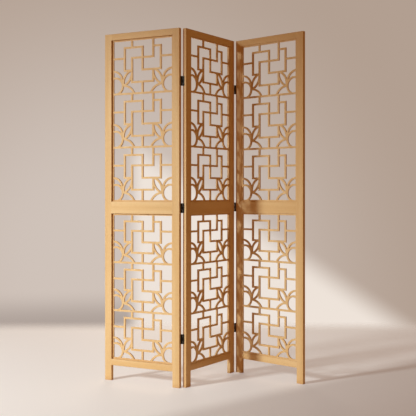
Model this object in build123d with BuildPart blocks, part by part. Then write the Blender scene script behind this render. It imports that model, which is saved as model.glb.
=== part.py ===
from build123d import *
from math import atan2, degrees, sqrt
import os

os.makedirs("parts", exist_ok=True)

# A free-standing folding screen: three framed leaves joined by butt hinges, each leaf
# filled with an upper and a lower fretwork panel. All lengths are in millimetres.
# +X runs to the right along the screen, +Y away from its front and +Z up; the origin is on
# the floor, under the middle of the screen as it stands.

# Leaf frame
leaf_width = 440
leaf_height = 1800
frame_thickness = 20
stile_width = 40
top_rail_height = 33
middle_rail_height = 63
bottom_rail_height = 33
middle_rail_base = 867
foot_height = 79
arris = 1.5
foot_easing = 1

# Tenons of the rails, seated in mortises of the stiles
tenon_length = 24
tenon_thickness = 7
tenon_shoulder = 9
tenon_clearance = 0.1

# Fretwork panels, cut from sheet with a border bar all round that is held in grooves, near
# one face of the frame
fretwork_thickness = 7
fretwork_inset = 3
bar_width = 10
border_reveal = 8
tongue_depth = 7
groove_side_clearance = 0.1
groove_end_clearance = 0.3
tiles_per_panel = 3
arc_anchor = 4

# The angle of each leaf to +X as the screen stands
left_leaf_angle = -26
middle_leaf_angle = 55
right_leaf_angle = -41

# Butt hinges
hinge_gap = 6
pin_stand_off = 3
hinge_height = 48
hinge_width = 12
plate_thickness = 2
knuckle_count = 3
knuckle_radius = 3
knuckle_clearance = 0.3
pin_radius = 1.5
pin_clearance = 0.05
pin_head_radius = 2.4
pin_head_height = 1
lower_hinge_height = 242
upper_hinge_drop = 264

# Countersunk screws, two to a plate
screw_radius = 1.3
screw_length = 16
screw_head_radius = 2.7
screw_head_height = 1.4
screw_clearance = 0.1
screw_pitch = 30

# Derived sizes of the leaf
opening_width = leaf_width - 2 * stile_width
border_line = border_reveal - bar_width / 2
half_field = opening_width / 2 - border_line
leaf_centre = leaf_width / 2
frame_centre = frame_thickness / 2
leaf_angles = {"left": left_leaf_angle, "middle": middle_leaf_angle, "right": right_leaf_angle}
lower_opening = (foot_height + bottom_rail_height, middle_rail_base)
upper_opening = (middle_rail_base + middle_rail_height, leaf_height - top_rail_height)
groove_depth = tongue_depth + groove_end_clearance
groove_width = fretwork_thickness + 2 * groove_side_clearance
bevel_side = arris * sqrt(2)
bevel_turn = 45

# How far the middle of the sheet lies behind the front of each leaf: the leaves are alike,
# but the left one is turned about, so its sheet is near its back
near_front = fretwork_inset + fretwork_thickness / 2
sheet_centre = {"left": frame_thickness - near_front, "middle": near_front, "right": near_front}

# Derived sizes of the hinges
knuckle_length = hinge_height / knuckle_count
knuckle_reach = knuckle_radius + knuckle_clearance
plate_width = hinge_width - knuckle_reach
screw_head_angle = 2 * degrees(atan2(screw_head_radius - screw_radius, screw_head_height))
hinge_centres = {
    "top": leaf_height - upper_hinge_drop,
    "middle": middle_rail_base + middle_rail_height / 2,
    "bottom": lower_hinge_height,
}

# The fretwork tile, as shares across of the way from its middle to the border bar's centre
# line, and up of its height
inner_column = 0.354
outer_column = 0.602
row_shares = (0.21, 0.431, 0.661, 0.855)

# The leaf spray in a lower corner of the tile, in the same shares
spray_node = (0.635, 0.152)
ring_root = 0.283
ring_bulge = (0.67, 0.147)
ring_foot = 0.862
side_leaf_root = 0.429
side_leaf_bulge = (0.833, 0.401)
side_leaf_tip = (0.679, 0.234)
tall_leaf_outer_bulge = (0.594, 0.321)
tall_leaf_inner_bulge = (0.418, 0.266)
low_leaf_bulge = (0.424, 0.11)
low_leaf_foot = 0.285


# ---------------------------------------------------------------- where the leaves stand

def leaf_plane(origin, angle):
    """A leaf's own frame: X along its width, Y from its front face to its back, Z up."""
    return Plane(origin=origin, x_dir=Vector(1, 0, 0).rotate(Axis.Z, angle), z_dir=(0, 0, 1))


def pin_point(end, back):
    """Where a hinge pin stands in a leaf's frame: past one end, proud of one face."""
    beyond = hinge_gap / 2 if end == "right" else -hinge_gap / 2
    across = (leaf_width if end == "right" else 0) + beyond
    depth = frame_thickness + pin_stand_off if back else -pin_stand_off
    return Vector(across, depth, 0)


def hang_leaf(carrier, carrier_end, angle, end, back):
    """The frame of a leaf that shares a pin with the carrier leaf."""
    pin = carrier.from_local_coords(pin_point(carrier_end, back))
    turned = leaf_plane((0, 0, 0), angle)
    return leaf_plane(pin - turned.from_local_coords(pin_point(end, back)), angle)


def plan_outline(leaf):
    """The corners of a leaf seen from above, two to each bevelled arris."""
    bevels = ((arris, 0), (0, arris))
    return [
        leaf.from_local_coords(Vector(abs(x - along), abs(y - deep), 0))
        for x in (0, leaf_width)
        for y in (0, frame_thickness)
        for along, deep in bevels
    ]


middle_frame = leaf_plane((0, 0, 0), leaf_angles["middle"])
frames = {
    "left": hang_leaf(middle_frame, "left", leaf_angles["left"], "right", back=True),
    "middle": middle_frame,
    "right": hang_leaf(middle_frame, "right", leaf_angles["right"], "left", back=False),
}
outline = [corner for leaf in frames.values() for corner in plan_outline(leaf)]
middle_of_x = (min(c.X for c in outline) + max(c.X for c in outline)) / 2
middle_of_y = (min(c.Y for c in outline) + max(c.Y for c in outline)) / 2
leaves = {
    name: leaf_plane(leaf.origin - Vector(middle_of_x, middle_of_y, 0), leaf_angles[name])
    for name, leaf in frames.items()
}


def elevation(leaf, depth):
    """A leaf's upright plane at a depth behind its front: X across, Y up, facing its front."""
    return Plane(leaf.from_local_coords(Vector(0, depth, 0)), x_dir=leaf.x_dir, z_dir=-leaf.y_dir)


def cross_section(leaf, across):
    """A plane across a leaf's width: X from the front face to the back, Y up."""
    return Plane(leaf.from_local_coords(Vector(across, 0, 0)), x_dir=leaf.y_dir, z_dir=leaf.x_dir)


def finish(part, name):
    """Label a finished piece and write it."""
    part.label = name
    export_step(part, f"parts/{name}.step")


# ---------------------------------------------------------------- the hinges' places

def screw_seats(leaf, end, back):
    """Planes on the outer face of each hinge plate at its screws, facing out of the end."""
    outward = 1 if end == "right" else -1
    toward_pin = 1 if back else -1
    seat = (leaf_width if end == "right" else 0) + outward * plate_thickness
    plate_middle = pin_point(end, back).Y - toward_pin * (hinge_width - plate_width / 2)
    return [
        Plane(
            leaf.from_local_coords(Vector(seat, plate_middle, centre + up)),
            x_dir=(0, 0, 1),
            z_dir=leaf.x_dir * outward,
        )
        for centre in hinge_centres.values()
        for up in (-screw_pitch / 2, screw_pitch / 2)
    ]


def on_hinge(seat, height):
    """Whether a screw seat belongs to the hinge centred at a height."""
    return abs(seat.origin.Z - height) < hinge_height / 2


def mortise_heights():
    """The lowest and highest point of each tenon."""
    rails = (
        (foot_height, bottom_rail_height),
        (middle_rail_base, middle_rail_height),
        (leaf_height - top_rail_height, top_rail_height),
    )
    return [(base + tenon_shoulder, base + height - tenon_shoulder) for base, height in rails]


# ---------------------------------------------------------------- stiles and rails

def make_stile(leaf_name, side, hinge_back):
    """An upright of a leaf. hinge_back says which face its hinges fold to, or is None."""
    leaf = leaves[leaf_name]
    inward = 1 if side == "left" else -1
    outer_edge = 0 if side == "left" else leaf_width
    inner_edge = outer_edge + inward * stile_width
    with BuildPart() as stile:
        with BuildSketch(leaf):
            with Locations(((outer_edge + inner_edge) / 2, frame_centre)):
                Rectangle(stile_width, frame_thickness)
        extrude(amount=leaf_height)
        outer_face = stile.faces().sort_by(Axis(leaf.origin, leaf.x_dir))[0 if inward > 0 else -1]
        top_face = stile.faces().sort_by(Axis.Z)[-1]
        inner_face = stile.faces().sort_by(Axis(leaf.origin, leaf.x_dir))[-1 if inward > 0 else 0]
        seam = inner_face.edges().sort_by(Axis.Z)[-1]
        outer_edges = outer_face.edges().filter_by(Axis.Z)
        top_edges = top_face.edges().filter_by(lambda edge: edge.center() != seam.center())
        chamfer(outer_edges + top_edges, length=arris)
        for base, top in (lower_opening, upper_opening):
            with BuildSketch(leaf.offset(base - groove_depth)):
                with Locations((inner_edge, sheet_centre[leaf_name])):
                    Rectangle(2 * groove_depth, groove_width)
            extrude(amount=top - base + 2 * groove_depth, mode=Mode.SUBTRACT)
        for base, top in mortise_heights():
            with BuildSketch(leaf.offset(base - tenon_clearance)):
                with Locations((inner_edge, frame_centre)):
                    Rectangle(
                        2 * (tenon_length + tenon_clearance),
                        tenon_thickness + 2 * tenon_clearance,
                    )
            extrude(amount=top - base + 2 * tenon_clearance, mode=Mode.SUBTRACT)
        for base, top in ((0, foot_height), lower_opening, upper_opening):
            with BuildSketch(leaf.offset(base)):
                with Locations((inner_edge, 0), (inner_edge, frame_thickness)):
                    Rectangle(bevel_side, bevel_side, rotation=bevel_turn)
            extrude(amount=top - base, mode=Mode.SUBTRACT)
        foot_face = stile.faces().sort_by(Axis.Z)[0]
        chamfer(foot_face.edges(), length=foot_easing)
        if hinge_back is not None:
            with Locations(*screw_seats(leaf, side, hinge_back)):
                Cylinder(
                    screw_radius + screw_clearance,
                    screw_length + screw_clearance,
                    align=(Align.CENTER, Align.CENTER, Align.MAX),
                    mode=Mode.SUBTRACT,
                )
    finish(stile.part, f"{leaf_name}_leaf_{side}_stile")


def make_rail(leaf_name, rail_name, base, height, groove_below, groove_above):
    """A cross rail with a tenon at each end and a groove along each edge that holds a panel."""
    leaf = leaves[leaf_name]
    with BuildPart() as rail:
        with BuildSketch(cross_section(leaf, stile_width)) as profile:
            with Locations((frame_centre, base + height / 2)):
                Rectangle(frame_thickness, height)
            chamfer(profile.vertices(), length=arris)
            if groove_below:
                with Locations((sheet_centre[leaf_name], base)):
                    Rectangle(groove_width, 2 * groove_depth, mode=Mode.SUBTRACT)
            if groove_above:
                with Locations((sheet_centre[leaf_name], base + height)):
                    Rectangle(groove_width, 2 * groove_depth, mode=Mode.SUBTRACT)
        extrude(amount=opening_width)
        with BuildSketch(cross_section(leaf, stile_width - tenon_length)):
            with Locations((frame_centre, base + height / 2)):
                Rectangle(tenon_thickness, height - 2 * tenon_shoulder)
        extrude(amount=opening_width + 2 * tenon_length)
    finish(rail.part, f"{leaf_name}_leaf_{rail_name}_rail")


# ---------------------------------------------------------------- the fretwork

def bar_boxes(tile_height):
    """The straight bars of one tile, as a centre and a size each, from its lower bar up."""
    inner = inner_column * half_field
    outer = outer_column * half_field
    row1, row2, row3, row4 = [share * tile_height for share in row_shares]
    level_bars = (
        (-half_field, half_field, 0),
        (-inner, inner, row1),
        (-outer, -inner, row2),
        (0, outer, row2),
        (-half_field, -outer, row3),
        (-inner, inner, row3),
        (outer, half_field, row3),
        (-outer, 0, row4),
        (inner, outer, row4),
    )
    upright_bars = (
        (-outer, row2, row4),
        (-inner, row1, row3),
        (-inner, row4, tile_height),
        (0, 0, row1),
        (0, row2, row4),
        (inner, row1, row2),
        (inner, row3, tile_height),
        (outer, row2, row4),
    )
    level = [
        ((start + end) / 2, height, end - start + bar_width, bar_width)
        for start, end, height in level_bars
    ]
    upright = [
        (across, (start + end) / 2, bar_width, end - start + bar_width)
        for across, start, end in upright_bars
    ]
    return level + upright


def motif_arcs(tile_height, side):
    """The leaf spray in one lower corner of a tile: five arcs, three points each."""
    def at(across, up):
        return side * across * half_field, up * tile_height

    def at_edge(up):
        return side * (half_field + arc_anchor), up * tile_height

    tip = at(inner_column, row_shares[1])
    node = at(*spray_node)
    return (
        (at_edge(ring_root), at(*ring_bulge), at(ring_foot, 0)),
        (at_edge(side_leaf_root), at(*side_leaf_bulge), at(*side_leaf_tip)),
        (tip, at(*tall_leaf_outer_bulge), node),
        (tip, at(*tall_leaf_inner_bulge), node),
        (node, at(*low_leaf_bulge), at(low_leaf_foot, 0)),
    )


def draw_panel(opening):
    """A whole panel, drawn about the opening's middle line and up from the floor."""
    low = opening[0] + border_line
    high = opening[1] - border_line
    tile_height = (high - low) / tiles_per_panel
    tile_bases = [(0, low + number * tile_height) for number in range(tiles_per_panel)]
    opening_centre = (0, (opening[0] + opening[1]) / 2)
    opening_height = opening[1] - opening[0]
    with BuildSketch() as tile:
        for across, up, width, height in bar_boxes(tile_height):
            with Locations((across, up)):
                Rectangle(width, height)
        for points in motif_arcs(tile_height, 1) + motif_arcs(tile_height, -1):
            with BuildLine():
                ThreePointArc(*points)
            trace(line_width=bar_width)
    with BuildSketch() as panel:
        with Locations(*tile_bases):
            add(tile.sketch)
        with Locations(opening_centre):
            Rectangle(
                opening_width + 2 * tongue_depth,
                opening_height + 2 * tongue_depth,
                mode=Mode.INTERSECT,
            )
        with BuildSketch():
            with Locations(opening_centre):
                Rectangle(opening_width + 2 * tongue_depth, opening_height + 2 * tongue_depth)
                Rectangle(
                    opening_width - 2 * border_reveal,
                    opening_height - 2 * border_reveal,
                    mode=Mode.SUBTRACT,
                )
    return panel.sketch


def make_fretwork(leaf_name, place, drawing):
    """Cut a panel from sheet, between the grooves of its leaf."""
    back_of_sheet = sheet_centre[leaf_name] + fretwork_thickness / 2
    sheet_plane = elevation(leaves[leaf_name], back_of_sheet)
    with BuildPart() as fretwork:
        with BuildSketch(sheet_plane):
            with Locations((leaf_centre, 0)):
                add(drawing)
        extrude(amount=fretwork_thickness)
    finish(fretwork.part, f"{leaf_name}_leaf_{place}_fretwork")


# ---------------------------------------------------------------- the hinges

def make_hinge_plate(name, leaf_name, end, back, height, knuckles):
    """One plate of a butt hinge, on the end face of a leaf, with its share of the knuckles."""
    leaf = leaves[leaf_name]
    outward = 1 if end == "right" else -1
    toward_pin = 1 if back else -1
    pin = pin_point(end, back)
    plate_x = pin.X - outward * (hinge_gap - plate_thickness) / 2
    plate_y = pin.Y - toward_pin * (hinge_width - plate_width / 2)
    base = height - hinge_height / 2
    with BuildPart() as plate:
        with BuildSketch(leaf.offset(base)):
            with Locations((plate_x, plate_y)):
                Rectangle(plate_thickness, plate_width)
        extrude(amount=hinge_height)
        for number in knuckles:
            low = base + number * knuckle_length + knuckle_clearance / 2
            with BuildSketch(leaf.offset(low)):
                with Locations((pin.X, pin.Y)):
                    Circle(knuckle_radius)
                with Locations((plate_x, pin.Y - toward_pin * knuckle_reach / 2)):
                    Rectangle(plate_thickness, knuckle_reach)
            extrude(amount=knuckle_length - knuckle_clearance)
        with BuildSketch(leaf.offset(base)):
            with Locations((pin.X, pin.Y)):
                Circle(pin_radius + pin_clearance)
        extrude(amount=hinge_height, mode=Mode.SUBTRACT)
        with Locations(*[seat for seat in screw_seats(leaf, end, back) if on_hinge(seat, height)]):
            CounterSinkHole(
                radius=screw_radius + screw_clearance,
                counter_sink_radius=screw_head_radius + screw_clearance,
                depth=plate_thickness,
                counter_sink_angle=screw_head_angle,
            )
    finish(plate.part, name)


def make_hinge_pin(name, pin, height):
    """A hinge pin with a head at both ends."""
    with BuildPart() as hinge_pin:
        base = height - hinge_height / 2
        with BuildSketch(Plane(pin).offset(base)):
            Circle(pin_radius)
        extrude(amount=hinge_height)
        with BuildSketch(
            Plane(pin).offset(base - pin_head_height),
            Plane(pin).offset(base + hinge_height),
        ):
            Circle(pin_head_radius)
        extrude(amount=pin_head_height)
    finish(hinge_pin.part, name)


def make_screws(name, seats):
    """The countersunk screws that hold one leaf's hinge plates at one end."""
    top = (Align.CENTER, Align.CENTER, Align.MAX)
    with BuildPart() as screws:
        with Locations(*seats):
            Cone(screw_radius, screw_head_radius, screw_head_height, align=top)
            Cylinder(screw_radius, screw_length, align=top)
    finish(screws.part, name)


# ---------------------------------------------------------------- the whole screen

upper_drawing = draw_panel(upper_opening)
lower_drawing = draw_panel(lower_opening)

# The ridge between the left and middle leaves folds backwards, so its pins are at the back;
# the valley between the middle and right leaves folds forwards, so its pins are in front.
stile_hinges = {
    ("left", "left"): None,
    ("left", "right"): True,
    ("middle", "left"): True,
    ("middle", "right"): False,
    ("right", "left"): False,
    ("right", "right"): None,
}
for (leaf_name, side), hinge_back in stile_hinges.items():
    make_stile(leaf_name, side, hinge_back)

for leaf_name in leaves:
    make_rail(leaf_name, "bottom", foot_height, bottom_rail_height, False, True)
    make_rail(leaf_name, "middle", middle_rail_base, middle_rail_height, True, True)
    make_rail(leaf_name, "top", leaf_height - top_rail_height, top_rail_height, True, False)
    make_fretwork(leaf_name, "upper", upper_drawing)
    make_fretwork(leaf_name, "lower", lower_drawing)

# Each fold's outer leaf and the end it is hinged at, the end of the middle leaf that it
# meets, and whether its pins are at the back.
folds = {
    "left": ("left", "right", "left", True),
    "right": ("right", "left", "right", False),
}
outer_knuckles = range(0, knuckle_count, 2)
middle_knuckles = range(1, knuckle_count, 2)
for fold, (outer_leaf, outer_end, middle_end, back) in folds.items():
    pin = leaves["middle"].from_local_coords(pin_point(middle_end, back))
    for place, height in hinge_centres.items():
        hinge = f"{fold}_fold_{place}_hinge"
        make_hinge_plate(f"{hinge}_outer_plate", outer_leaf, outer_end, back, height, outer_knuckles)
        make_hinge_plate(f"{hinge}_middle_plate", "middle", middle_end, back, height, middle_knuckles)
        make_hinge_pin(f"{hinge}_pin", pin, height)
    make_screws(f"{fold}_fold_outer_screws", screw_seats(leaves[outer_leaf], outer_end, back))
    make_screws(f"{fold}_fold_middle_screws", screw_seats(leaves["middle"], middle_end, back))
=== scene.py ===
# %% [markdown]
# # A three-leaf folding screen in pale wood
# The screen is made of separate pieces: stiles, rails, sheets of fretwork and black butt
# hinges. Their solids already stand at their real size and place, so this lesson brings
# them in as a fixed frame and never moves them. What it adds is everything the eye reads as
# finished wood and blackened steel, and the light that shows it.

# %% Load the solids
import math

import bmesh
import bpy
from mathutils import Matrix, Vector


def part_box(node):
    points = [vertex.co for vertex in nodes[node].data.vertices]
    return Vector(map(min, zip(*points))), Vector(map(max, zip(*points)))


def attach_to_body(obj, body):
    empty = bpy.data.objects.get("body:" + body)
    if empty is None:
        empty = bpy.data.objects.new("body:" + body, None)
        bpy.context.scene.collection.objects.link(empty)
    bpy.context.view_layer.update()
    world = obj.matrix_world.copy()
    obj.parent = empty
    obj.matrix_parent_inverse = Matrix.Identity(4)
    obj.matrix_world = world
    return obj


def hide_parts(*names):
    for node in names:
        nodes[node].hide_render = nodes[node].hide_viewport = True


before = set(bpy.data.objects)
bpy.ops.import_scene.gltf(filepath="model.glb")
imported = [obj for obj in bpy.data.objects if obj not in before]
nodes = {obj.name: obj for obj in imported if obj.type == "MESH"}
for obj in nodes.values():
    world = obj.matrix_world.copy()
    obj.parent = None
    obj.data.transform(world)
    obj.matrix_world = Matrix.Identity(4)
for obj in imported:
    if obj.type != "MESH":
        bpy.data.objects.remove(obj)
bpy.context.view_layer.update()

# %% [markdown]
# ## Where each leaf stands
# Wood grain follows the board that it is in, and each leaf stands at its own angle. The
# centres of a leaf's two stiles give its direction, so no angle has to be written down.

# %% Measure the leaves
LEAVES = ("left", "middle", "right")


def box_centre(node_name):
    """The centre of a solid's box."""
    low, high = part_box(node_name)
    return (low + high) / 2


leaf_centre = {}
leaf_along = {}
leaf_angle = {}
for leaf in LEAVES:
    first = box_centre(f"{leaf}_leaf_left_stile")
    last = box_centre(f"{leaf}_leaf_right_stile")
    leaf_centre[leaf] = (first + last) / 2
    leaf_along[leaf] = (last - first).normalized()
    leaf_angle[leaf] = math.atan2(leaf_along[leaf].y, leaf_along[leaf].x)
    print(f"{leaf} leaf turned {math.degrees(leaf_angle[leaf]):.1f} degrees")

# %% [markdown]
# ## Small helpers for node trees
# A material is a tree of nodes. Written one call per node, a tree soon hides what it does,
# so a few helpers carry the routine work: add a node and feed its sockets, do one sum, make
# one number of two vectors, blend two colours, and start a material.

# %% Node helpers
def attach(tree, kind, sockets=None, **settings):
    """Add a node to a tree, set its properties, and set or link its input sockets."""
    node = tree.nodes.new(kind)
    for name, value in settings.items():
        setattr(node, name, value)
    for key, value in (sockets or {}).items():
        if isinstance(value, bpy.types.NodeSocket):
            tree.links.new(value, node.inputs[key])
        else:
            node.inputs[key].default_value = value
    return node


def calculate(tree, operation, first, second=0.0):
    """The result of one sum."""
    sockets = {0: first, 1: second}
    return attach(tree, "ShaderNodeMath", sockets, operation=operation).outputs[0]


def scaled(tree, value, factor, base=0.0):
    """A value times a factor, on top of a base."""
    product = calculate(tree, "MULTIPLY", value, factor)
    return calculate(tree, "ADD", product, base) if base else product


def opposite(tree, share):
    """What a share leaves of 1."""
    return calculate(tree, "SUBTRACT", 1.0, share)


def vector_measure(tree, operation, first, second):
    """One number from two vectors: their dot product, or how far apart they are."""
    sockets = {0: first, 1: second}
    return attach(tree, "ShaderNodeVectorMath", sockets, operation=operation).outputs["Value"]


def blend_colours(tree, share, first, second):
    """A blend of two colours."""
    sockets = {0: share, 6: first, 7: second}
    return attach(tree, "ShaderNodeMix", sockets, data_type="RGBA").outputs[2]


def between(tree, value, low, high):
    """0 below one value, 1 above the other, and smooth between them."""
    sockets = {"Value": value, "From Min": low, "From Max": high}
    smooth = {"interpolation_type": "SMOOTHSTEP"}
    return attach(tree, "ShaderNodeMapRange", sockets, **smooth).outputs[0]


def object_place(tree):
    """Where a point is in its object, in metres."""
    return attach(tree, "ShaderNodeTexCoord").outputs["Object"]


def new_material(name):
    """A material, its node tree, and the shader in it."""
    material = bpy.data.materials.new(name)
    material.use_nodes = True
    return material, material.node_tree, material.node_tree.nodes["Principled BSDF"]


def screen_colour(red, green, blue):
    """A colour as a screen shows it, 0 to 255, turned into the linear one that nodes use."""
    shares = [channel / 255 for channel in (red, green, blue)]
    return (*[s / 12.92 if s <= 0.04045 else ((s + 0.055) / 1.055) ** 2.4 for s in shares], 1)


print("a mid wood tone is", [round(c, 3) for c in screen_colour(217, 169, 114)])

# %% [markdown]
# ## The grain, built once
# Straight-grained wood shows four things at four sizes: broad bands of tone along a board,
# growth rings a few millimetres apart, fibres finer than a millimetre, and short pores. A
# picture of wood would give all four, but it would not turn the corner of a board. Growth
# rings worked out from the distance to the heart of the tree do, so a board's end shows the
# same rings that run along its face. One node group makes them for every board. A ring is
# pale where the tree grew in spring, darkens slowly, and ends sharply; some years leave a
# darker ring than others.

# %% Grain group
FLOAT = "NodeSocketFloat"
VECTOR = "NodeSocketVector"
BAND_CELLS = (1.3, 26.0, 26.0)
WANDER_CELLS = (1.1, 5.0, 5.0)
FIBRE_CELLS = (24.0, 820.0, 820.0)
PORE_CELLS = (95.0, 2600.0, 2600.0)
BAND_DETAIL = 2.0
WANDER_DETAIL = 1.0
FIBRE_DETAIL = 2.0
PORE_DETAIL = 0.0
RING_SPACING = 0.0034
RING_WANDER = 0.012
RING_DARKENS = (0.25, 0.86)
RING_ENDS = (0.88, 1.0)
FAINTEST_RING = 0.4
RING_VARIETY = 0.6
PORE_LIMITS = (0.64, 0.74)
BAND_LIMITS = (0.3, 0.7)


def new_group(name, inputs, outputs):
    """A shader node group with its sockets, and the nodes that stand for them inside."""
    group = bpy.data.node_groups.new(name, "ShaderNodeTree")
    for socket_name, kind in inputs:
        group.interface.new_socket(socket_name, in_out="INPUT", socket_type=kind)
    for socket_name, kind in outputs:
        group.interface.new_socket(socket_name, in_out="OUTPUT", socket_type=kind)
    entry = group.nodes.new("NodeGroupInput").outputs
    return group, entry, group.nodes.new("NodeGroupOutput")


def stretched_noise(tree, vector, stretch, detail):
    """Noise whose cells have their own size along, through and across the grain."""
    sockets = {0: vector, 1: stretch}
    cells = attach(tree, "ShaderNodeVectorMath", sockets, operation="MULTIPLY").outputs[0]
    sockets = {"Vector": cells, "Scale": 1.0, "Detail": detail}
    return attach(tree, "ShaderNodeTexNoise", sockets).outputs


grain, grain_in, grain_out = new_group(
    "Straight grain",
    [("Vector", VECTOR), ("Heart Through", FLOAT), ("Heart Across", FLOAT)],
    [("Rings", FLOAT), ("Fibres", FLOAT), ("Pores", FLOAT), ("Bands", FLOAT)],
)
place = grain_in["Vector"]
wander = stretched_noise(grain, place, WANDER_CELLS, WANDER_DETAIL)["Color"]
wander = attach(grain, "ShaderNodeSeparateColor", {0: wander}).outputs
axes = attach(grain, "ShaderNodeSeparateXYZ", {0: place}).outputs
squares = []
for axis, heart, channel in (("Y", "Heart Through", 0), ("Z", "Heart Across", 1)):
    reach = calculate(grain, "ADD", axes[axis], grain_in[heart])
    reach = calculate(grain, "ADD", reach, scaled(grain, wander[channel], RING_WANDER))
    squares.append(calculate(grain, "MULTIPLY", reach, reach))
from_heart = calculate(grain, "SQRT", calculate(grain, "ADD", *squares))
years = calculate(grain, "DIVIDE", from_heart, RING_SPACING)
season = calculate(grain, "FRACT", years)
not_ended = opposite(grain, between(grain, season, *RING_ENDS))
late_wood = calculate(grain, "MULTIPLY", between(grain, season, *RING_DARKENS), not_ended)
year = {"W": calculate(grain, "FLOOR", years)}
chance = attach(grain, "ShaderNodeTexWhiteNoise", year, noise_dimensions="1D").outputs["Value"]
strength = scaled(grain, chance, RING_VARIETY, FAINTEST_RING)
pores = stretched_noise(grain, place, PORE_CELLS, PORE_DETAIL)[0]
bands = stretched_noise(grain, place, BAND_CELLS, BAND_DETAIL)[0]
for name, value in (
    ("Rings", calculate(grain, "MULTIPLY", late_wood, strength)),
    ("Fibres", stretched_noise(grain, place, FIBRE_CELLS, FIBRE_DETAIL)[0]),
    ("Pores", between(grain, pores, *PORE_LIMITS)),
    ("Bands", between(grain, bands, *BAND_LIMITS)),
):
    grain.links.new(value, grain_out.inputs[name])
print("grain group:", len(grain.nodes), "nodes")

# %% [markdown]
# ## Worn edges, painted highlights and painted corner shade
# A finish is thin on an arris: wood rubs pale there, and blackened steel rubs bright. On wood
# the pale edge colour is also a painted highlight, for the light that an arris catches. Both
# show the same mask: where the surface would turn if its edges were rounded. The Bevel node
# gives that rounded normal, and its difference from the true one is the mask. The rounded
# normal also goes to the material itself, so that an edge catches a thin line of light. Deep
# corners get painted shade: an occlusion mask finds them, and the wood there is painted a
# darker, richer brown, for light that has bounced off wood first.

# %% Edge and corner groups
EDGE_SAMPLES = 6
EDGE_TURN = (0.01, 0.2)
PATCH_SCALE = 60.0
PATCH_DETAIL = 3.0
PATCH_LIMITS = (0.35, 0.6)
CORNER_SAMPLES = 8
CORNER_REACH = 0.03


def edge_mask_group():
    """A group that finds edges and breaks their line up a little."""
    group, inputs, output = new_group(
        "Worn and highlit edge",
        [("Vector", VECTOR), ("Width", FLOAT), ("Unevenness", FLOAT)],
        [("Edge", FLOAT), ("Rounded", VECTOR)],
    )
    width = {"Radius": inputs["Width"]}
    rounded = attach(group, "ShaderNodeBevel", width, samples=EDGE_SAMPLES).outputs[0]
    true_normal = attach(group, "ShaderNodeNewGeometry").outputs["Normal"]
    likeness = vector_measure(group, "DOT_PRODUCT", rounded, true_normal)
    edge = between(group, opposite(group, likeness), *EDGE_TURN)
    sockets = {"Vector": inputs["Vector"], "Scale": PATCH_SCALE, "Detail": PATCH_DETAIL}
    patches = attach(group, "ShaderNodeTexNoise", sockets).outputs[0]
    patches = between(group, patches, *PATCH_LIMITS)
    kept = calculate(group, "MULTIPLY", patches, inputs["Unevenness"])
    kept = calculate(group, "ADD", kept, opposite(group, inputs["Unevenness"]))
    group.links.new(calculate(group, "MULTIPLY", edge, kept), output.inputs["Edge"])
    group.links.new(rounded, output.inputs["Rounded"])
    return group


def painted_corner_shade_group():
    """A group that finds corners that little light reaches, for the wood's painted shade."""
    group, _, output = new_group("Painted corner shade", [], [("Corner", FLOAT)])
    reach = {"Distance": CORNER_REACH}
    openness = attach(group, "ShaderNodeAmbientOcclusion", reach, samples=CORNER_SAMPLES)
    group.links.new(opposite(group, openness.outputs["AO"]), output.inputs["Corner"])
    return group


worn_and_highlit_edge = edge_mask_group()
painted_corner_shade = painted_corner_shade_group()
print("mask groups:", worn_and_highlit_edge.name, "and", painted_corner_shade.name)

# %% [markdown]
# ## One board, one material
# Every stile, rail and sheet was sawn from a different place in a plank, so each gets its own
# material: the same recipe with its own place in the grain. A Mapping node of the texture
# kind turns object coordinates into the board's own, with X along the grain. The frame's
# edges were planed and eased by hand, so they wear in a broad soft line; the sheets were
# sawn, and their edges stay sharper. The pale edge line is wear and also a painted highlight.

# %% The wood recipe
PALE_WOOD = screen_colour(233, 195, 142)
DEEP_WOOD = screen_colour(223, 179, 121)
RING_WOOD = screen_colour(205, 156, 96)
PORE_WOOD = screen_colour(168, 122, 76)
# Pale edge colour: wear, and also a painted highlight on the arris.
RUBBED_AND_HIGHLIT_WOOD = screen_colour(247, 219, 178)
# Painted shade colour for deep corners.
PAINTED_CORNER_SHADE_WOOD = screen_colour(190, 132, 74)
RING_SHARE = 0.42
STREAK_LIMITS = (0.42, 0.68)
STREAK_SHARE = 0.22
PORE_SHARE = 0.35
PAINTED_CORNER_SHADE_SHARE = 0.8
PLANK_STEP = 0.37
NEAREST_THROUGH, THROUGH_STEP, THROUGH_PLACES = 0.05, 0.013, 5
NEAREST_ACROSS, ACROSS_STEP, ACROSS_PLACES = 0.30, 0.027, 7
# How wide and how pale the edges get: wear and painted highlight.
PLANED_EDGE, PLANED_RUB_AND_HIGHLIGHT = 0.002, 0.55
SAWN_EDGE, SAWN_RUB_AND_HIGHLIGHT = 0.0005, 0.3
WOOD_UNEVENNESS = 0.5
WOOD_ROUGHNESS = 0.44
FIBRE_ROUGHNESS = 0.16
RUBBED_ROUGHNESS = 0.1
WOOD_SHINE = 0.2
WOOD_RELIEF = {"Strength": 0.25, "Distance": 0.0002}


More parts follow.
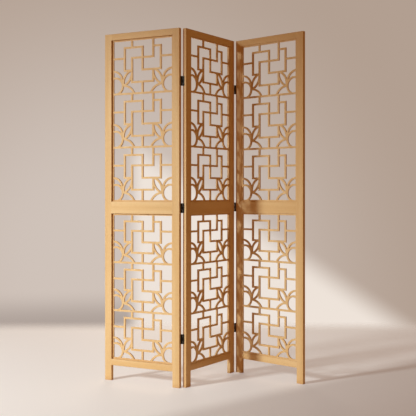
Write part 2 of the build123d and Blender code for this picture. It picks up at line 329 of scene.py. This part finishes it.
def board_material(name, leaf, upright, number, edge_width, pale_edge_amount):
    """Wood whose grain runs up a board or along it, from its own place in a plank."""
    material, tree, shader = new_material(name)
    centre = leaf_centre[leaf]
    grain_tilt = -math.pi / 2 if upright else 0.0
    board_axes = {
        "Vector": object_place(tree),
        "Location": (centre.x, centre.y, number * PLANK_STEP),
        "Rotation": (0.0, grain_tilt, leaf_angle[leaf]),
    }
    board = attach(tree, "ShaderNodeMapping", board_axes, vector_type="TEXTURE").outputs[0]
    plank_place = {
        "Vector": board,
        "Heart Through": NEAREST_THROUGH + THROUGH_STEP * (number % THROUGH_PLACES),
        "Heart Across": NEAREST_ACROSS + ACROSS_STEP * (number % ACROSS_PLACES),
    }
    wood = attach(tree, "ShaderNodeGroup", plank_place, node_tree=grain).outputs
    colour = blend_colours(tree, wood["Bands"], PALE_WOOD, DEEP_WOOD)
    colour = blend_colours(tree, scaled(tree, wood["Rings"], RING_SHARE), colour, RING_WOOD)
    streaks = between(tree, wood["Fibres"], *STREAK_LIMITS)
    colour = blend_colours(tree, scaled(tree, streaks, STREAK_SHARE), colour, DEEP_WOOD)
    colour = blend_colours(tree, scaled(tree, wood["Pores"], PORE_SHARE), colour, PORE_WOOD)
    # Painted shade: deep corners are painted a darker, richer brown, for bounced light.
    corner = attach(tree, "ShaderNodeGroup", node_tree=painted_corner_shade).outputs[0]
    colour = blend_colours(tree, scaled(tree, corner, PAINTED_CORNER_SHADE_SHARE), colour, PAINTED_CORNER_SHADE_WOOD)
    wear_look = {"Vector": board, "Width": edge_width, "Unevenness": WOOD_UNEVENNESS}
    wear = attach(tree, "ShaderNodeGroup", wear_look, node_tree=worn_and_highlit_edge).outputs
    # The pale edge is wear and also a painted highlight on the arris.
    pale_edge = scaled(tree, wear["Edge"], pale_edge_amount)
    colour = blend_colours(tree, pale_edge, colour, RUBBED_AND_HIGHLIT_WOOD)
    tree.links.new(colour, shader.inputs["Base Color"])
    satin = scaled(tree, wood["Fibres"], FIBRE_ROUGHNESS, WOOD_ROUGHNESS)
    satin = calculate(tree, "ADD", satin, scaled(tree, pale_edge, RUBBED_ROUGHNESS))
    tree.links.new(satin, shader.inputs["Roughness"])
    relief = calculate(tree, "ADD", wood["Fibres"], wood["Rings"])
    relief = calculate(tree, "SUBTRACT", relief, wood["Pores"])
    relief = {**WOOD_RELIEF, "Height": relief, "Normal": wear["Rounded"]}
    bump = attach(tree, "ShaderNodeBump", relief).outputs[0]
    tree.links.new(bump, shader.inputs["Normal"])
    shader.inputs["Specular IOR Level"].default_value = WOOD_SHINE
    return material


def dress(node_name, material):
    """Give a solid its finish, in its object's own material slots."""
    piece = nodes[node_name]
    if not piece.material_slots:
        piece.data.materials.append(None)
    for slot in piece.material_slots:
        slot.link = "OBJECT"
        slot.material = material


number = 0
for leaf in LEAVES:
    for side in ("left", "right"):
        name = f"{leaf}_leaf_{side}_stile"
        dress(name, board_material(name, leaf, True, number, PLANED_EDGE, PLANED_RUB_AND_HIGHLIGHT))
        number += 1
    for level in ("bottom", "middle", "top"):
        name = f"{leaf}_leaf_{level}_rail"
        dress(name, board_material(name, leaf, False, number, PLANED_EDGE, PLANED_RUB_AND_HIGHLIGHT))
        number += 1
    for level in ("upper", "lower"):
        name = f"{leaf}_leaf_{level}_fretwork"
        dress(name, board_material(name, leaf, True, number, SAWN_EDGE, SAWN_RUB_AND_HIGHLIGHT))
        number += 1
print(number, "boards dressed")

# %% [markdown]
# ## Blackened steel
# The hinges are plain steel with a thin black finish. It is nearly black but never flat: it
# is a little brown, uneven in sheen, and rubbed to grey steel on the knuckles' edges. The
# screws are smaller and a driver has turned them, so their edges wear in a narrower line
# that shows more.

# %% Hinge and screw finish
BLACK_FINISH = screen_colour(26, 19, 13)
BROWN_FINISH = screen_colour(44, 31, 20)
BARE_STEEL = screen_colour(120, 112, 103)
MOTTLE_SCALE = 240.0
MOTTLE_DETAIL = 5.0
MOTTLE_LIMITS = (0.35, 0.7)
STEEL_UNEVENNESS = 0.8
STEEL_ROUGHNESS = 0.3
MOTTLE_ROUGHNESS = 0.3
STEEL_RELIEF = {"Strength": 0.3, "Distance": 0.0001}
HINGE_EDGE, HINGE_RUB = 0.0006, 0.3
SCREW_EDGE, SCREW_RUB = 0.0003, 0.6


def blackened_material(name, edge_width, pale_edge_amount):
    """A thin black finish on steel, rubbed at its edges."""
    material, tree, shader = new_material(name)
    place = object_place(tree)
    sockets = {"Vector": place, "Scale": MOTTLE_SCALE, "Detail": MOTTLE_DETAIL}
    mottle = attach(tree, "ShaderNodeTexNoise", sockets).outputs[0]
    wear_look = {"Vector": place, "Width": edge_width, "Unevenness": STEEL_UNEVENNESS}
    wear = attach(tree, "ShaderNodeGroup", wear_look, node_tree=worn_and_highlit_edge).outputs
    pale_edge = scaled(tree, wear["Edge"], pale_edge_amount)
    brownness = between(tree, mottle, *MOTTLE_LIMITS)
    colour = blend_colours(tree, brownness, BLACK_FINISH, BROWN_FINISH)
    colour = blend_colours(tree, pale_edge, colour, BARE_STEEL)
    tree.links.new(colour, shader.inputs["Base Color"])
    tree.links.new(pale_edge, shader.inputs["Metallic"])
    sheen = scaled(tree, mottle, MOTTLE_ROUGHNESS, STEEL_ROUGHNESS)
    tree.links.new(sheen, shader.inputs["Roughness"])
    relief = {**STEEL_RELIEF, "Height": mottle, "Normal": wear["Rounded"]}
    bump = attach(tree, "ShaderNodeBump", relief).outputs[0]
    tree.links.new(bump, shader.inputs["Normal"])
    return material


hinge_black = blackened_material("hinge_black", HINGE_EDGE, HINGE_RUB)
screw_black = blackened_material("screw_black", SCREW_EDGE, SCREW_RUB)
hinge_names = [name for name in nodes if "_hinge_" in name]
for name in hinge_names:
    dress(name, hinge_black)
print("hinges:", len(hinge_names), "pieces")

# %% [markdown]
# ## Screws with a cross recess
# Two countersunk screws hold each hinge plate, and their heads show as soon as a leaf is
# folded away. The solids give them as plain countersunk shapes. A real head is struck from
# wire and its recess punched into it. Here one screw is turned instead, with a full spin,
# because its outline is all that it needs, and two narrow tapered cutters then take the
# cross out of its head.

# %% One finished screw
HEAD_RADIUS = 0.0027
SHANK_RADIUS = 0.0013
HEAD_DEPTH = 0.0014
SCREW_LENGTH = 0.016
HEAD_EASING = 0.0002
RECESS_LENGTH = 0.0031
RECESS_WIDTH = 0.00072
RECESS_DEPTH = 0.00115
RECESS_TAPER = 0.4
SPIN_STEPS = 28
WELD_DISTANCE = 1e-6


def scene_object(name, data):
    """An object in the scene, at the origin."""
    piece = bpy.data.objects.new(name, data)
    bpy.context.scene.collection.objects.link(piece)
    return piece


def loose_object(name, work):
    """An object from a bmesh, which is used up."""
    mesh = bpy.data.meshes.new(name)
    work.to_mesh(mesh)
    work.free()
    return scene_object(name, mesh)


def turned_screw():
    """A countersunk screw, head up, with its head's face at the origin."""
    work = bmesh.new()
    profile = (
        (0.0, 0.0),
        (HEAD_RADIUS - HEAD_EASING, 0.0),
        (HEAD_RADIUS, -HEAD_EASING / 2),
        (SHANK_RADIUS, -HEAD_DEPTH),
        (SHANK_RADIUS, -SCREW_LENGTH + 2 * SHANK_RADIUS),
        (0.0, -SCREW_LENGTH),
    )
    corners = [work.verts.new((radius, 0, height)) for radius, height in profile]
    edges = [work.edges.new(pair) for pair in zip(corners, corners[1:])]
    bmesh.ops.spin(
        work,
        geom=corners + edges,
        cent=(0, 0, 0),
        axis=(0, 0, 1),
        angle=math.tau,
        steps=SPIN_STEPS,
        use_merge=True,
    )
    bmesh.ops.remove_doubles(work, verts=work.verts, dist=WELD_DISTANCE)
    bmesh.ops.recalc_face_normals(work, faces=work.faces)
    return loose_object("turned_screw", work)


def recess_cutter(turn):
    """One arm of the cross recess, narrower at its bottom."""
    work = bmesh.new()
    bmesh.ops.create_cube(work, size=1.0)
    arm_size = (RECESS_LENGTH, RECESS_WIDTH, 2 * RECESS_DEPTH)
    bmesh.ops.scale(work, vec=arm_size, verts=work.verts)
    bottom = [vert for vert in work.verts if vert.co.z < 0]
    bmesh.ops.scale(work, vec=(RECESS_TAPER, RECESS_TAPER, 1), verts=bottom)
    bmesh.ops.rotate(work, matrix=Matrix.Rotation(turn, 3, "Z"), verts=work.verts)
    return loose_object("recess_cutter", work)


blank = turned_screw()
cutters = [recess_cutter(0.0), recess_cutter(math.pi / 2)]
for cutter in cutters:
    cut = blank.modifiers.new("recess", "BOOLEAN")
    cut.operation = "DIFFERENCE"
    cut.solver = "EXACT"
    cut.object = cutter
bpy.context.view_layer.update()
cut_blank = blank.evaluated_get(bpy.context.evaluated_depsgraph_get())
finished_screw = bpy.data.meshes.new_from_object(cut_blank)
for scrap in (blank, *cutters):
    bpy.data.objects.remove(scrap)
print("one screw:", len(finished_screw.polygons), "faces")

# %% [markdown]
# ## The screws in their places
# Each plain screw is one connected shape in its solid's mesh. Its two ends along the leaf
# show where it is and which way it faces, because the head is the wider end. A person
# driving screws stops each at its own turn, so no two crosses in a row stand alike.

# %% Set the screws
SCREW_TURN = math.radians(37)
END_DEPTH = 1e-5
SHARP_ANGLE = math.radians(30)


def connected_shapes(work):
    """The separate shapes of a bmesh, each as a set of its corners."""
    left = set(work.verts)
    while left:
        shape, rim = set(), {left.pop()}
        while rim:
            shape |= rim
            rim = {edge.other_vert(vert) for vert in rim for edge in vert.link_edges} - shape
        left -= shape
        yield shape


def screw_places(node_name, along):
    """The middle of each screw's head and the way that it faces, from the plain solids."""
    work = bmesh.new()
    work.from_mesh(nodes[node_name].data)
    bmesh.ops.remove_doubles(work, verts=work.verts, dist=WELD_DISTANCE)
    found = []
    for shape in connected_shapes(work):
        points = sorted((vert.co.copy() for vert in shape), key=along.dot)
        ends = []
        for tip, facing in ((points[0], -along), (points[-1], along)):
            ring = [point for point in points if facing.dot(tip - point) < END_DEPTH]
            middle = sum(ring, Vector()) / len(ring)
            ends.append((max((point - middle).length for point in ring), middle, facing))
        found.append(max(ends, key=lambda end: end[0])[1:])
    work.free()
    return sorted(found, key=lambda place: place[0].z)


for node_name in [name for name in nodes if name.endswith("_screws")]:
    fold, _, member, _ = node_name.split("_")
    leaf = "middle" if member == "middle" else fold
    screws = bmesh.new()
    for index, (head, facing) in enumerate(screw_places(node_name, leaf_along[leaf])):
        turn = Matrix.Rotation(SCREW_TURN * index, 4, "Z")
        faced = facing.to_track_quat("Z", "Y").to_matrix().to_4x4()
        copy = finished_screw.copy()
        copy.transform(Matrix.Translation(head) @ faced @ turn)
        screws.from_mesh(copy)
        bpy.data.meshes.remove(copy)
    piece = loose_object(node_name.replace("screws", "cross_recess_screws"), screws)
    piece.data.materials.append(screw_black)
    piece.data.shade_smooth()
    piece.data.set_sharp_from_angle(angle=SHARP_ANGLE)
    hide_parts(node_name)
    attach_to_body(piece, f"{leaf}_leaf")
    print(piece.name, "faces:", len(piece.data.polygons))

# %% [markdown]
# ## Floor
# A pale floor takes the screen's shadow. A little way behind the screen it fades into the
# surroundings, so no hard line crosses the picture. In a bright room a floor is lit from
# every side, and the shadows on it stay pale. A weak glow paints that light here. Only the
# camera sees it, so it lights nothing: it is a painted pool of sunlight, stronger at the back
# left and weaker at the front right. The floor hardly shines, because a glossy one would
# mirror the lamp in a white patch.

# %% Floor
FLOOR_HALF_WIDTH = 8.0
FADE_START = 1.45
FADE_END = 1.95
FLOOR_COLOUR = screen_colour(236, 228, 222)
FLOOR_ROUGHNESS = 0.6
FLOOR_SHINE = 0.05
BRIGHT_GLOW = (1.22, 1.2, 1.2, 1)
DIM_GLOW = (0.52, 0.52, 0.56, 1)
GLOW_SHARE = 0.22
POOL_ACROSS = (0.646, -0.763, 0.0)
POOL_EDGE = (0.33, 0.53)

plane = bmesh.new()
bmesh.ops.create_grid(plane, x_segments=1, y_segments=1, size=FLOOR_HALF_WIDTH)
bmesh.ops.translate(plane, vec=(0, FADE_END - FLOOR_HALF_WIDTH, 0), verts=plane.verts)
floor = loose_object("floor", plane)

pale_floor, tree, shader = new_material("pale_floor")
place = object_place(tree)
shader.inputs["Base Color"].default_value = FLOOR_COLOUR
shader.inputs["Roughness"].default_value = FLOOR_ROUGHNESS
shader.inputs["Specular IOR Level"].default_value = FLOOR_SHINE
# Painted light: the glow is a pool of sunlight, bright on one side of a line and dim past it.
past_pool = between(tree, vector_measure(tree, "DOT_PRODUCT", place, POOL_ACROSS), *POOL_EDGE)
glow = {"Color": blend_colours(tree, past_pool, BRIGHT_GLOW, DIM_GLOW)}
glow = attach(tree, "ShaderNodeEmission", glow).outputs[0]
seen = attach(tree, "ShaderNodeLightPath").outputs["Is Camera Ray"]
lifted = {0: scaled(tree, seen, GLOW_SHARE), 1: shader.outputs[0], 2: glow}
lifted = attach(tree, "ShaderNodeMixShader", lifted).outputs[0]
clear = attach(tree, "ShaderNodeBsdfTransparent").outputs[0]
depth = attach(tree, "ShaderNodeSeparateXYZ", {0: place}).outputs["Y"]
faded = {0: between(tree, depth, FADE_START, FADE_END), 1: lifted, 2: clear}
faded = attach(tree, "ShaderNodeMixShader", faded).outputs[0]
tree.links.new(faded, tree.nodes["Material Output"].inputs["Surface"])
floor.data.materials.append(pale_floor)
print("floor fades out from", FADE_START, "to", FADE_END, "m behind")

# %% [markdown]
# ## Surroundings
# To the camera the surroundings are a warm grey wall with painted light on it, brightest
# behind the screen's left half. Right of an upright edge and under a slope lies a painted
# pool of sunlight, and left of that edge the foot of the wall has painted shade. To light
# that falls on the screen they are something simpler: one weak warm fill, which keeps the
# shaded leaf an even brown.

# %% Surroundings
BRIGHT_SIDE = screen_colour(207, 194, 185)
DIM_SIDE = screen_colour(178, 159, 145)
BRIGHT_TOWARDS = (-0.13, 1.0, -0.09)
BRIGHT_REACH = 0.07
DIM_FROM = 0.42
POOL_COLOUR = screen_colour(238, 227, 217)
UNDER_SLOPE = (-0.5555, -0.00455, -0.8315)
RIGHT_OF_EDGE = (0.996, 0.089, 0.0)
SLOPE_SOFTNESS = 0.02
EDGE_SOFTNESS = 0.012
FOOT_SHADE = screen_colour(176, 163, 155)
FOOT_SHADE_HEIGHT = (-0.155, -0.115)
FILL_COLOUR = (1.0, 0.46, 0.11, 1)
FILL_STRENGTH = 0.252

world = bpy.data.worlds.new("surroundings")
bpy.context.scene.world = world
world.use_nodes = True
tree = world.node_tree
tree.nodes.clear()
direction = attach(tree, "ShaderNodeTexCoord").outputs["Generated"]


def side_of(plane_normal, softness):
    """1 on the side of a plane through the eye that its normal points to, 0 on the other."""
    past = vector_measure(tree, "DOT_PRODUCT", direction, plane_normal)
    return between(tree, past, -softness, softness)


# Painted light: the wall is brightest in one direction and dimmer away from it.
from_bright = vector_measure(tree, "DISTANCE", direction, BRIGHT_TOWARDS)
dimness = between(tree, from_bright, BRIGHT_REACH, DIM_FROM)
wall = blend_colours(tree, dimness, BRIGHT_SIDE, DIM_SIDE)
right_of_edge = side_of(RIGHT_OF_EDGE, EDGE_SOFTNESS)
# Painted shade: the foot of the wall, left of the edge, is darker.
height = attach(tree, "ShaderNodeSeparateXYZ", {0: direction}).outputs["Z"]
low_down = opposite(tree, between(tree, height, *FOOT_SHADE_HEIGHT))
foot_shade = calculate(tree, "MULTIPLY", low_down, opposite(tree, right_of_edge))
wall = blend_colours(tree, foot_shade, wall, FOOT_SHADE)
# Painted light: a pool of sunlight, right of the edge and under a slope.
under_slope = side_of(UNDER_SLOPE, SLOPE_SOFTNESS)
pool = calculate(tree, "MULTIPLY", right_of_edge, under_slope)
wall = blend_colours(tree, pool, wall, POOL_COLOUR)
rays = attach(tree, "ShaderNodeLightPath").outputs
seen = calculate(tree, "MAXIMUM", rays["Is Camera Ray"], rays["Is Glossy Ray"])
seen = calculate(tree, "MAXIMUM", seen, rays["Is Transmission Ray"])
fill = {"Color": FILL_COLOUR, "Strength": FILL_STRENGTH}
fill = attach(tree, "ShaderNodeBackground", fill).outputs[0]
wall = attach(tree, "ShaderNodeBackground", {"Color": wall, "Strength": 1.0}).outputs[0]
both = attach(tree, "ShaderNodeMixShader", {0: seen, 1: fill, 2: wall}).outputs[0]
attach(tree, "ShaderNodeOutputWorld", {"Surface": both})
print("fill strength", FILL_STRENGTH)

# %% [markdown]
# ## Lamps
# A soft spot lamp stands at the left front, 30 degrees up, and aims about a metre to the
# left of the screen. The outer leaves face it, and the middle leaf, which is turned away, stays in
# its own shade. Its light falls off all the way from the middle of the cone to the rim, so
# the leaves are brightest low down. A broad weak lamp behind the screen keeps the backs
# from lying wholly in the shade.

# %% Lamps
KEY_TARGET = Vector((-1.58, -0.15, 0.28))
KEY_TOWARDS = Vector((-0.623, -0.602, 0.500))
KEY_DISTANCE = 5.28
KEY_CONE = math.radians(52)
KEY_FALL_OFF = 1.0
KEY_RADIUS = 0.42
KEY_WATTS = 1731.0
KEY_COLOUR = (0.82, 0.95, 1.0)
BACK_PLACE = Vector((-0.5, 3.6, 1.3))
BACK_TARGET = Vector((0.0, 0.0, 0.9))
BACK_SIZE = 1.6
BACK_WATTS = 30.0
BACK_COLOUR = (1.0, 0.88, 0.74)


def aimed_lamp(name, kind, place, target, watts, colour):
    """A lamp that stands in one place and shines towards another."""
    lamp = bpy.data.lights.new(name, kind)
    lamp.energy = watts
    lamp.color = colour
    stand = scene_object(name, lamp)
    stand.location = place
    stand.rotation_mode = "QUATERNION"
    stand.rotation_quaternion = (target - place).to_track_quat("-Z", "Y")
    print(name, "stands", round((target - place).length, 2), "m from its target")
    return lamp


key_place = KEY_TARGET + KEY_TOWARDS.normalized() * KEY_DISTANCE
key = aimed_lamp("key_lamp", "SPOT", key_place, KEY_TARGET, KEY_WATTS, KEY_COLOUR)
key.spot_size = KEY_CONE
key.spot_blend = KEY_FALL_OFF
key.shadow_soft_size = KEY_RADIUS
back = aimed_lamp("back_lamp", "AREA", BACK_PLACE, BACK_TARGET, BACK_WATTS, BACK_COLOUR)
back.shape = "DISK"
back.size = BACK_SIZE

# %% [markdown]
# ## Camera
# The camera looks level, so that the uprights stay parallel, from a little over half the
# screen's height. The horizon would then cross the middle of the picture; a small vertical
# shift puts it a little higher without tilting the camera.

# %% Camera
PICTURE_SIZE = 416
FOCAL_PIXELS = 816.7
HORIZON_ROW = 192.59
SENSOR_WIDTH = 36.0
CAMERA_PLACE = (0.0211, -4.2662, 0.9764)

camera_data = bpy.data.cameras.new("camera")
camera_data.sensor_width = SENSOR_WIDTH
camera_data.lens = FOCAL_PIXELS * SENSOR_WIDTH / PICTURE_SIZE
camera_data.shift_y = (HORIZON_ROW - PICTURE_SIZE / 2) / PICTURE_SIZE
camera = scene_object("camera", camera_data)
camera.location = CAMERA_PLACE
camera.rotation_euler = (math.pi / 2, 0, 0)
bpy.context.scene.camera = camera
print("lens", round(camera_data.lens, 1), "mm, shift", round(camera_data.shift_y, 4))

# %% [markdown]
# ## Finish
# The picture is shown with the Standard view transform.

# %% Finish
bpy.context.scene.view_settings.view_transform = "Standard"
